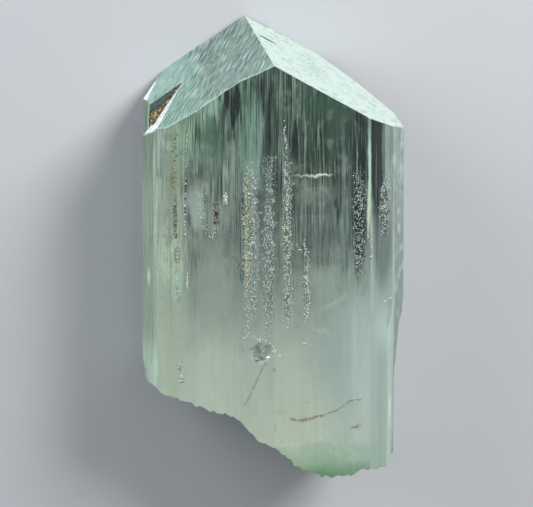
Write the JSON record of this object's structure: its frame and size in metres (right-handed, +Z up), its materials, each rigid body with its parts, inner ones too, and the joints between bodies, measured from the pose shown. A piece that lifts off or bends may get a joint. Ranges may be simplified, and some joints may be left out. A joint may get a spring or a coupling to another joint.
{
  "type": "kunzite crystal",
  "caption": "Flattened pale gem-spodumene crystal with a roof-shaped end and a broken base, lying on its broad face.",
  "frame": {"origin": "centre of the footprint's bounding box, on the surface the crystal lies on", "axes": "+Y along the crystal towards its roof-shaped end, +X across it, +Z up, out of its broad front face"},
  "size_m": [0.0512, 0.0894, 0.0204],
  "materials": {
    "spodumene": "natural crystal faces, glossy on the prism and satin-etched on the roof, see-through with veils inside",
    "iron_stained_matrix": "dull earthy crumb stained brown by iron"
  },
  "bodies": {
    "root": {"kunzite_crystal": "spodumene", "notch_matrix": "iron_stained_matrix"}
  },
  "joints": []
}
